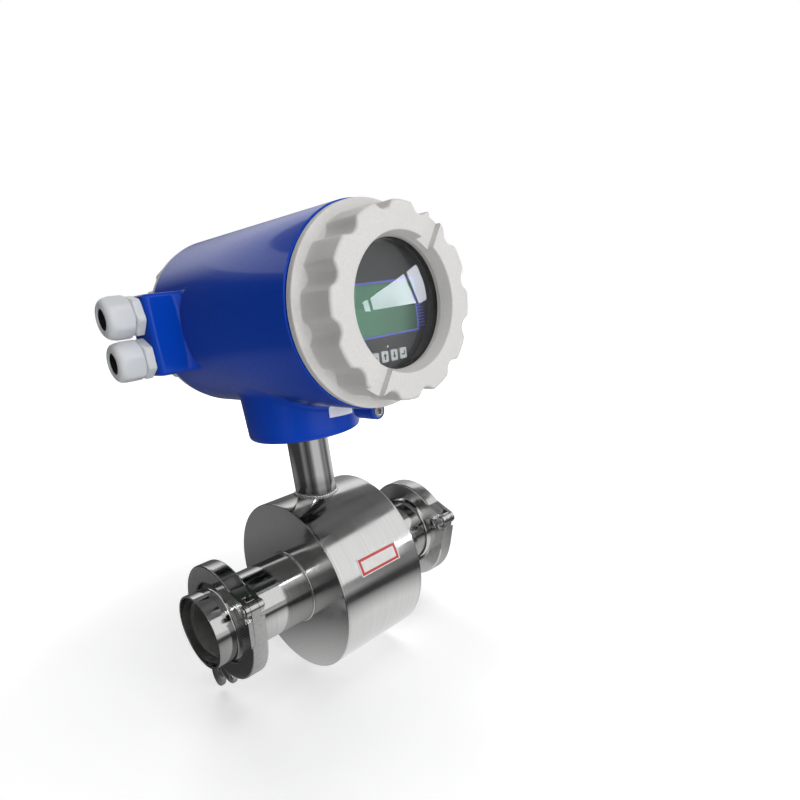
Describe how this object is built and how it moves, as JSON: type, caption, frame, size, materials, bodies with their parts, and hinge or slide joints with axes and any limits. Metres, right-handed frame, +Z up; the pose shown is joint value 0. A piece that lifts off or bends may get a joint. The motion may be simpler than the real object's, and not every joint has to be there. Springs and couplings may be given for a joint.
{
  "type": "electromagnetic flow meter",
  "caption": "Pipe-mounted magnetic flow meter: steel drum on a lined tube with hinged clamps, blue head with screw covers, window and cable glands.",
  "frame": {"origin": "on the pipe's axis, in the middle of the drum", "axes": "+X along the pipe in the direction of flow, +Z up through the neck, and the display looks along -Y"},
  "size_m": [0.2156, 0.2204, 0.3063],
  "materials": {
    "block_green": "moulded",
    "blue_paint": "glossy enamel",
    "board_green": "solder mask",
    "brushed_steel": "fine brushed",
    "cast_steel": "cast and tumbled",
    "coil_copper": "wound wire",
    "cover_paint": "fine textured powder coat",
    "gasket_white": "matte",
    "gland_grey": "moulded",
    "key_grey": "smooth",
    "liner_white": "smooth",
    "module_grey": "satin",
    "panel_black": "smooth",
    "polished_steel": "polished",
    "screen_green": "smooth",
    "seal_black": "matte",
    "steel_screw": "turned",
    "window_glass": "polished"
  },
  "bodies": {
    "meter": {"flow_tube": "polished_steel", "liner": "liner_white", "electrode_front": "polished_steel", "electrode_rear": "polished_steel", "coil_upper": "coil_copper", "coil_lower": "coil_copper", "drum_shell": "brushed_steel", "drum_cap_inlet": "polished_steel", "drum_cap_outlet": "polished_steel", "neck_tube": "polished_steel", "neck_gasket": "seal_black", "neck_bolt_1": "steel_screw", "neck_bolt_2": "steel_screw", "neck_bolt_3": "steel_screw", "neck_bolt_4": "steel_screw", "head_housing": "blue_paint", "front_lock_screw": "steel_screw", "rear_lock_screw": "steel_screw", "display_panel": "panel_black", "lcd_screen": "screen_green", "lcd_module": "module_grey", "main_board": "board_green", "board_carrier": "panel_black", "terminal_board": "board_green", "terminal_block": "block_green", "board_screw_1": "steel_screw", "board_screw_2": "steel_screw", "gland_body_upper": "gland_grey", "gland_body_lower": "gland_grey", "inlet_stub": "polished_steel", "outlet_stub": "polished_steel", "inlet_gasket": "gasket_white", "outlet_gasket": "gasket_white", "inlet_clamp_fixed_half": "cast_steel", "inlet_hinge_pin": "steel_screw", "inlet_bolt_pin": "steel_screw", "outlet_clamp_fixed_half": "cast_steel", "outlet_hinge_pin": "steel_screw", "outlet_bolt_pin": "steel_screw"},
    "front_cover_seal": {"front_oring": "seal_black"},
    "front_cover": {"front_cover": "cover_paint", "window_glass": "window_glass", "glass_gasket": "seal_black", "glass_retainer": "panel_black"},
    "rear_cover_seal": {"rear_oring": "seal_black"},
    "rear_cover": {"rear_cover": "cover_paint"},
    "gland_seal_upper": {"gland_seal_upper": "seal_black"},
    "gland_nut_upper": {"gland_nut_upper": "gland_grey"},
    "gland_seal_lower": {"gland_seal_lower": "seal_black"},
    "gland_nut_lower": {"gland_nut_lower": "gland_grey"},
    "key_1": {"key_1": "key_grey"},
    "key_2": {"key_2": "key_grey"},
    "key_3": {"key_3": "key_grey"},
    "key_4": {"key_4": "key_grey"},
    "inlet_swing_bolt": {"inlet_swing_bolt": "cast_steel"},
    "inlet_wing_nut": {"inlet_wing_nut": "cast_steel"},
    "inlet_clamp_swing_half": {"inlet_clamp_swing_half": "cast_steel"},
    "outlet_swing_bolt": {"outlet_swing_bolt": "cast_steel"},
    "outlet_wing_nut": {"outlet_wing_nut": "cast_steel"},
    "outlet_clamp_swing_half": {"outlet_clamp_swing_half": "cast_steel"}
  },
  "joints": [
    {"name": "front_cover_advance", "type": "slide", "parent": "meter", "child": "front_cover_seal", "axis": [0, -1, 0], "range_m": [0, 0.01]},
    {"name": "front_cover_turn", "type": "hinge", "parent": "front_cover_seal", "child": "front_cover", "pos_m": [0, -0.0846, 0.186], "axis": [0, -1, 0], "range_deg": [0, 1800]},
    {"name": "rear_cover_advance", "type": "slide", "parent": "meter", "child": "rear_cover_seal", "axis": [0, 1, 0], "range_m": [0, 0.01]},
    {"name": "rear_cover_turn", "type": "hinge", "parent": "rear_cover_seal", "child": "rear_cover", "pos_m": [0, 0.076, 0.186], "axis": [0, 1, 0], "range_deg": [0, 1800]},
    {"name": "gland_nut_upper_advance", "type": "slide", "parent": "meter", "child": "gland_seal_upper", "axis": [-1, 0, 0], "range_m": [0, 0.0075]},
    {"name": "gland_nut_upper_turn", "type": "hinge", "parent": "gland_seal_upper", "child": "gland_nut_upper", "pos_m": [-0.0845, 0.0475, 0.1983], "axis": [-1, 0, 0], "range_deg": [0, 1800]},
    {"name": "gland_nut_lower_advance", "type": "slide", "parent": "meter", "child": "gland_seal_lower", "axis": [-1, 0, 0], "range_m": [0, 0.0075]},
    {"name": "gland_nut_lower_turn", "type": "hinge", "parent": "gland_seal_lower", "child": "gland_nut_lower", "pos_m": [-0.0845, 0.0475, 0.1713], "axis": [-1, 0, 0], "range_deg": [0, 1800]},
    {"name": "key_1_press", "type": "slide", "parent": "meter", "child": "key_1", "axis": [0, 1, 0], "range_m": [0, 0.0008], "stiffness_N_per_m": 1500, "springref_m": -0.0003},
    {"name": "key_2_press", "type": "slide", "parent": "meter", "child": "key_2", "axis": [0, 1, 0], "range_m": [0, 0.0008], "stiffness_N_per_m": 1500, "springref_m": -0.0003},
    {"name": "key_3_press", "type": "slide", "parent": "meter", "child": "key_3", "axis": [0, 1, 0], "range_m": [0, 0.0008], "stiffness_N_per_m": 1500, "springref_m": -0.0003},
    {"name": "key_4_press", "type": "slide", "parent": "meter", "child": "key_4", "axis": [0, 1, 0], "range_m": [0, 0.0008], "stiffness_N_per_m": 1500, "springref_m": -0.0003},
    {"name": "inlet_bolt_swing", "type": "hinge", "parent": "meter", "child": "inlet_swing_bolt", "pos_m": [-0.088, 0.04505, -0.01432], "axis": [1, 0, 0], "range_deg": [0, 95]},
    {"name": "inlet_nut_advance", "type": "slide", "parent": "inlet_swing_bolt", "child": "inlet_wing_nut", "axis": [0, -0.4695, -0.8829], "range_m": [0, 0.012]},
    {"name": "inlet_clamp_open", "type": "hinge", "parent": "meter", "child": "inlet_clamp_swing_half", "pos_m": [-0.088, -0.03929, 0.02089], "axis": [-1, 0, 0], "range_deg": [0, 7.1]},
    {"name": "outlet_bolt_swing", "type": "hinge", "parent": "meter", "child": "outlet_swing_bolt", "pos_m": [0.088, 0.0466, -0.00792], "axis": [1, 0, 0], "range_deg": [0, 95]},
    {"name": "outlet_nut_advance", "type": "slide", "parent": "outlet_swing_bolt", "child": "outlet_wing_nut", "axis": [0, -0.342, -0.9397], "range_m": [0, 0.012]},
    {"name": "outlet_clamp_open", "type": "hinge", "parent": "meter", "child": "outlet_clamp_swing_half", "pos_m": [0.088, -0.04182, 0.01522], "axis": [-1, 0, 0], "range_deg": [0, 7.1]}
  ],
  "couplings": [
    {"joint": "front_cover_advance", "follows": "front_cover_turn", "m_per_rad": 0.00031831},
    {"joint": "rear_cover_advance", "follows": "rear_cover_turn", "m_per_rad": 0.00031831},
    {"joint": "gland_nut_upper_advance", "follows": "gland_nut_upper_turn", "m_per_rad": 0.00023873},
    {"joint": "gland_nut_lower_advance", "follows": "gland_nut_lower_turn", "m_per_rad": 0.00023873},
    {"joint": "inlet_clamp_open", "follows": "inlet_nut_advance", "rad_per_m": 10.3},
    {"joint": "outlet_clamp_open", "follows": "outlet_nut_advance", "rad_per_m": 10.3}
  ]
}
